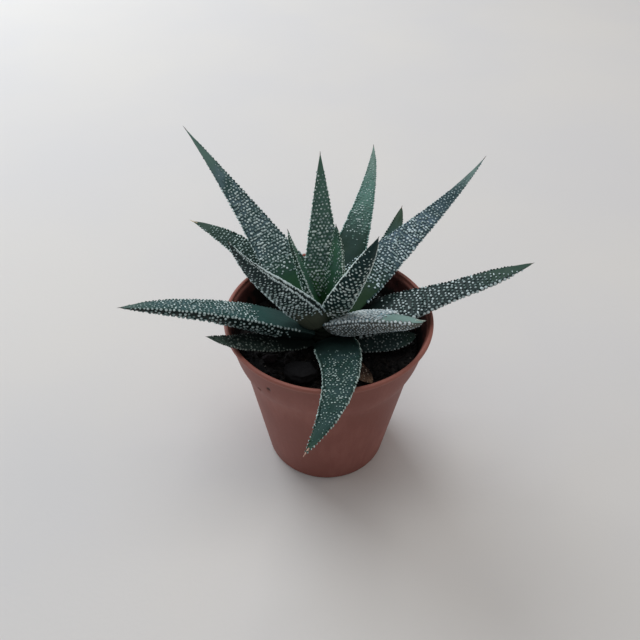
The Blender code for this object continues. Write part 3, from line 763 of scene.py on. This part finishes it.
def makePot():
    # the profile carried round, with extra columns over each dent; a point at a distance d from a dent moves
    # inward by dentDepth exp(-(d / dentRadius)^2)
    profile = rounded(pot["corners"], pot["fillets"], pot["spacing"])
    angles = [circle(pot["sides"]) - math.pi]
    columns = np.linspace(-pot["dentSpan"], pot["dentSpan"], pot["dentColumns"])
    for turn, _, _ in pot["dents"]:
        angles.append(np.radians(turn + columns))
    shell = turned(profile, np.unique(np.concatenate(angles).round(5)))
    points = shell["points"]
    reach = np.hypot(points[:, 0], points[:, 1])
    for dent in pot["dents"]:
        away = np.linalg.norm(points - dentPlace(*dent), axis=1)
        push = pot["dentDepth"] * np.exp(-(away / pot["dentRadius"]) ** 2)
        points[:, :2] -= (push / np.maximum(reach, 1e-6))[:, None] * points[:, :2]
    cutHoles(build("nurseryPot", [shell], [potLook()], "pot"))
    print("pot done")


makePot()


# Soil: dark potting mix with crumbs, grit and root threads on its uneven top, in mm; each wave of the top is
# its size, share and seed, and wall is the side from below up
soil = dict(level=40.3, topRadius=24.1, innerRadius=0.2, rimDrop=0.5, rise=0.7, rings=70, sides=200,
            waves=[(5.5, 0.6, 4), (1.6, 0.45, 8), (0.6, 0.25, 15)],
            wall=[(0.5, 1.4), (16.1, 1.4), (22.1, 37.4), (23.75, 38.1), (24.0, 39.2)],
            crumbs=1900, leastCrumb=0.22, crumbSpread=0.75, crumbReach=24.0, paleShare=0.06,
            threads=70, threadReach=21, dark=(17, 17, 19), brown=(38, 34, 32), grit=(84, 80, 76))


def soilTop(x, y):
    # level + rise times the sum of the waves
    waves = sum(share * lumps(x, y, size, seed) for size, share, seed in soil["waves"])
    return soil["level"] + soil["rise"] * waves


def soilLook():
    # near black mix with brown patches and pale grit
    look = Look("pottingMix", 0.3)
    coarse, fine = look.noise(500, 4), look.noise(3200, 3)
    colour = look.mix(look.ease(coarse, 0.42, 0.7), soil["dark"], soil["brown"])
    colour = look.mix(look.ease(fine, 0.64, 0.76) * 0.6, colour, soil["grit"])
    look.bump(coarse + fine * 0.6, 0.0005, 1.0)
    return look.finish(colour, 0.85 - look.ease(coarse, 0.5, 0.7) * 0.25)


def crumbLook(name, dark, light):
    # rough grains between a dark and a light colour, each with its own tone
    look = Look(name, 0.3)
    fine = look.noise(1500, 3)
    bright = look.ease(fine + (look.mark("tone") - 0.5) * 0.7, 0.35, 0.85)
    colour = look.mix(bright, dark, light)
    look.bump(fine, 0.0002, 0.9)
    return look.finish(colour, 0.75 + fine * 0.2)


def crumbs(spots, size, dice, slot):
    # irregular grains: two rings of six points, a foot and a top, pushed about, stretched and spun at random
    turn = circle(6)
    ring = np.stack([np.cos(turn), np.sin(turn), 0 * turn], -1)
    shape = np.concatenate([ring * 0.75 + [0, 0, -0.45], ring * 0.95 + [0, 0, 0.15],
                            [[0, 0, -0.9], [0, 0, 0.75]]])
    count, each = len(spots), len(shape)
    grain = shape * dice.uniform(0.65, 1.35, (count, each, 1)) * dice.uniform(0.6, 1.4, (count, 1, 3))
    spin = dice.uniform(0, 2 * math.pi, count)[:, None]
    x, y, z = np.moveaxis(grain, -1, 0)
    grain = np.stack([x * np.cos(spin) - y * np.sin(spin), x * np.sin(spin) + y * np.cos(spin), z], -1)
    points = spots[:, None] + grain * size[:, None, None]
    return repeated(points, 2, 6, slot, tone=dice.uniform(0, 1, (count, 1)))


def threads(spots, dice, slot):
    # short root threads that lie on the mix: thin tubes along an evenly bent line with a low arch
    shells, count, mostBend, above, mostArch, angle = [], 7, 1.6, 0.12, 0.5, circle(4)[:, None]
    for spot in spots:
        turn, bend = dice.uniform(0, 2 * math.pi), dice.uniform(-mostBend, mostBend)
        t = np.linspace(0, 1, count)
        way = turn + bend * t
        ahead = np.stack([np.cos(way), np.sin(way)], -1)
        path = spot[:2] + np.cumsum(ahead, 0) * dice.uniform(1.5, 5) / count
        arch = mostArch * np.sin(t * math.pi) * dice.uniform(0, 1)
        height = soilTop(path[:, 0], path[:, 1]) + above + arch
        path = np.concatenate([path, height[:, None]], 1)
        side = np.stack([-np.sin(way), np.cos(way), 0 * way], -1)[:, None]
        ring = np.cos(angle) * side + np.sin(angle) * np.array([0, 0, 1.0])
        radius = dice.uniform(0.06, 0.13) * (1.1 - 0.6 * t)
        shells.append(tube(path[:, None] + radius[:, None, None] * ring, slot))
    return shells


def makeSoil():
    # a closed body up its wall and in over its top, with crumbs of a few sizes and root threads laid on it
    dice = np.random.default_rng(5)
    angles = circle(soil["sides"])
    radius = np.linspace(soil["topRadius"], soil["innerRadius"], soil["rings"])[:, None]
    x, y = radius * np.cos(angles), radius * np.sin(angles)
    height = soilTop(x, y)
    height[0] = soil["level"] - soil["rimDrop"]
    across, up = np.array(soil["wall"]).T[..., None]
    below = np.stack([across * np.cos(angles), across * np.sin(angles), up + 0 * angles], -1)
    shells = [tube(np.concatenate([below, np.stack([x, y, height], -1)]))]

    def place(reach, turn):
        return np.stack([reach * np.cos(turn), reach * np.sin(turn), 0 * reach], -1)

    count = soil["crumbs"]
    reach = soil["topRadius"] * np.sqrt(dice.uniform(0.02, 0.99, count))
    turn = dice.uniform(0, 2 * math.pi, count)
    size = soil["leastCrumb"] + soil["crumbSpread"] * dice.uniform(0, 1, count) ** 3
    spots = place(np.minimum(reach, soil["crumbReach"] - size * 1.2), turn)
    spots[:, 2] = soilTop(spots[:, 0], spots[:, 1]) + 0.15 * size
    pale = dice.uniform(0, 1, count) < soil["paleShare"]
    shells.append(crumbs(spots[~pale], size[~pale], dice, 1))
    shells.append(crumbs(spots[pale], size[pale] * 0.6, dice, 2))
    reach = soil["threadReach"] * np.sqrt(dice.uniform(0.05, 1, soil["threads"]))
    shells += threads(place(reach, dice.uniform(0, 2 * math.pi, soil["threads"])), dice, 3)
    looks = [soilLook(), crumbLook("darkCrumbs", (13, 13, 14), (38, 34, 32)),
             crumbLook("paleGrit", (60, 56, 54), (110, 104, 98)),
             crumbLook("rootThreads", (44, 36, 30), (92, 78, 64))]
    build("pottingSoil", shells, looks, "soil")
    print("soil done")


makeSoil()


# Lumps that lie on the soil: half sizes in mm, seed of their shape and colours
lumpPieces = {
    "charcoalLump": dict(node="charcoal_lump", half=(4.4, 3.7, 2.0), seed=3, slot="charcoal",
                         dark=(20, 20, 23), light=(62, 60, 64)),
    "leftBark": dict(node="bark_bit_left", half=(2.2, 1.5, 1.1), seed=11, slot="bark",
                     dark=(34, 26, 30), light=(84, 68, 74)),
    "frontBark": dict(node="bark_bit_front", half=(2.0, 1.4, 0.9), seed=17, slot="bark",
                      dark=(38, 28, 24), light=(78, 60, 50)),
    "backBark": dict(node="bark_bit_back", half=(2.3, 1.7, 1.1), seed=23, slot="bark",
                     dark=(38, 28, 24), light=(78, 60, 50)),
}


def lumpShell(lump, middle):
    # a unit sphere cut back by a few flat planes and roughened, then drawn out to its half sizes
    dice = np.random.default_rng(lump["seed"])
    rings, sides, pole, planes, roughness = 30, 44, 0.06, 9, 0.06
    polar, turn = np.linspace(math.pi - pole, pole, rings)[:, None], circle(sides)
    x, y = np.sin(polar) * np.cos(turn), np.sin(polar) * np.sin(turn)
    ball = np.stack([x, y, np.cos(polar) + 0 * turn], -1)
    for _ in range(planes):
        facing = unit(dice.normal(size=3))
        over = np.maximum(ball @ facing - dice.uniform(0.68, 0.86), 0)
        ball = ball - over[..., None] * facing
    x, y, z = np.moveaxis(ball, -1, 0)
    rough = lumps(x * 4, y * 4, 1.1, lump["seed"]) + lumps(y * 9, z * 9, 1.3, lump["seed"] + 1)
    ball = ball * (1 + roughness * rough)[..., None]
    return tube(middle + ball * np.array(lump["half"]))


def makeLumps():
    # each one stands in the middle of the part it replaces
    for name, lump in lumpPieces.items():
        low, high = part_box(lump["node"])
        middle = np.array((low + high) / 2) / mm
        look = crumbLook(name + "Finish", lump["dark"], lump["light"])
        build(name, [lumpShell(lump, middle)], [look], lump["node"])
    print("lumps done")


makeLumps()


# Stem: mostly hidden between the leaves, ringed where older leaves came away, in mm
stem = dict(profile=[(0, 32), (2.4, 33.5), (3.6, 38), (4.1, 41), (4.1, 44.3), (3.6, 46), (3.2, 47.5),
                     (2.9, 48.2), (2.3, 49), (1.5, 49.5), (0, 49.8)], fillet=0.6, spacing=0.3, sides=64,
            least=0.02, ringDepth=0.18, ringPitch=1.3, dark=(20, 32, 24), light=(38, 52, 38),
            scar=(44, 36, 28))


def stemLook():
    # dark green skin with brown scars
    look = Look("stemSkin", 0.3)
    coarse, fine = look.noise(380, 4), look.noise(2600, 2)
    colour = look.mix(look.ease(coarse, 0.4, 0.65), stem["dark"], stem["light"])
    colour = look.mix(look.ease(fine, 0.6, 0.75) * 0.5, colour, stem["scar"])
    look.bump(coarse + fine * 0.5, 0.0003, 0.9)
    return look.finish(colour, 0.7 + fine * 0.15)


def makeStem():
    # the profile carried round, its radius waved by ringDepth sin(2 pi height / ringPitch)
    line = rounded(stem["profile"], [stem["fillet"]] * len(stem["profile"]), stem["spacing"])
    line[1:-1, 0] += stem["ringDepth"] * np.sin(line[1:-1, 1] * 2 * math.pi / stem["ringPitch"])
    line[:, 0] = np.maximum(line[:, 0], stem["least"])
    shell = turned(line, circle(stem["sides"]))
    shell["points"][:, 0] += plantX
    build("shortStem", [shell], [stemLook()], "stem")
    print("stem done")


makeStem()


# Floor, lights and camera: places in metres, angles in degrees, the camera's place in mm
studio = dict(floorColour=(217, 216, 216), floorPale=(221, 219, 216), floorSide=6, sky=(0.84, 0.84, 0.85),
              skyStrength=0.34, aim=(0, 0, 0.04))
lamps = {
    "windowLight": dict(at=(-0.54, 0.68, 0.56), power=5.85, size=0.64, colour=(0.91, 0.955, 1)),
    "topLight": dict(at=(0.0, 0.2, 1.1), power=3.1, size=0.6, colour=(1, 0.985, 0.965)),
    "rightLight": dict(at=(1.0, 0.25, 0.45), power=1.5, size=0.7, colour=(1, 0.82, 0.68)),
    "leftLight": dict(at=(-1.0, 0.1, 0.4), power=1.8, size=0.7, colour=(0.88, 0.94, 1)),
}
viewer = dict(at=(0.0, -139.5405, 173.1895), pan=-0.938, down=42.222, roll=0.665, lens=40, sensor=36,
              near=0.01)


def floorLook():
    # pale table top with faint clouds
    look = Look("paleTable", 0.3)
    cloud, fine = look.noise(9, 3), look.noise(900, 2)
    colour = look.mix(look.ease(cloud, 0.3, 0.7), studio["floorColour"], studio["floorPale"])
    look.bump(fine, 0.0001, 0.3)
    return look.finish(colour, 0.7 + fine * 0.1)


def addLight(name, at, power, size, colour):
    # a square lamp turned to the plant
    lamp = bpy.data.lights.new(name, "AREA")
    lamp.energy, lamp.size, lamp.color = power, size, colour
    holder = bpy.data.objects.new(name, lamp)
    holder.location = at
    holder.rotation_euler = (Vector(studio["aim"]) - Vector(at)).to_track_quat("-Z", "Y").to_euler()
    bpy.context.scene.collection.objects.link(holder)


def makeStudio():
    # a level square floor at height 0, the lamps and an even pale sky
    bpy.ops.mesh.primitive_plane_add(size=studio["floorSide"])
    floor = bpy.context.active_object
    floor.name = "floor"
    floor.data.materials.append(floorLook())
    for name, lamp in lamps.items():
        addLight(name, **lamp)
    world = bpy.data.worlds.new("paleRoom")
    world.use_nodes = True
    sky = world.node_tree.nodes["Background"].inputs
    sky["Color"].default_value = (*studio["sky"], 1)
    sky["Strength"].default_value = studio["skyStrength"]
    bpy.context.scene.world = world
    bpy.context.scene.view_settings.view_transform = "Standard"


def makeCamera():
    # it looks north and down, turned to the east by pan and about its own line by roll
    pan, down, roll = (math.radians(viewer[key]) for key in ("pan", "down", "roll"))
    turn = (Matrix.Rotation(-pan, 4, "Z") @ Matrix.Rotation(math.pi / 2 - down, 4, "X")
            @ Matrix.Rotation(roll, 4, "Z"))
    lens = bpy.data.cameras.new("camera")
    lens.lens, lens.sensor_width, lens.clip_start = viewer["lens"], viewer["sensor"], viewer["near"]
    holder = bpy.data.objects.new("camera", lens)
    bpy.context.scene.collection.objects.link(holder)
    holder.matrix_world = Matrix.Translation(Vector(viewer["at"]) * mm) @ turn
    bpy.context.scene.camera = holder


makeStudio()
makeCamera()
print("studio done")
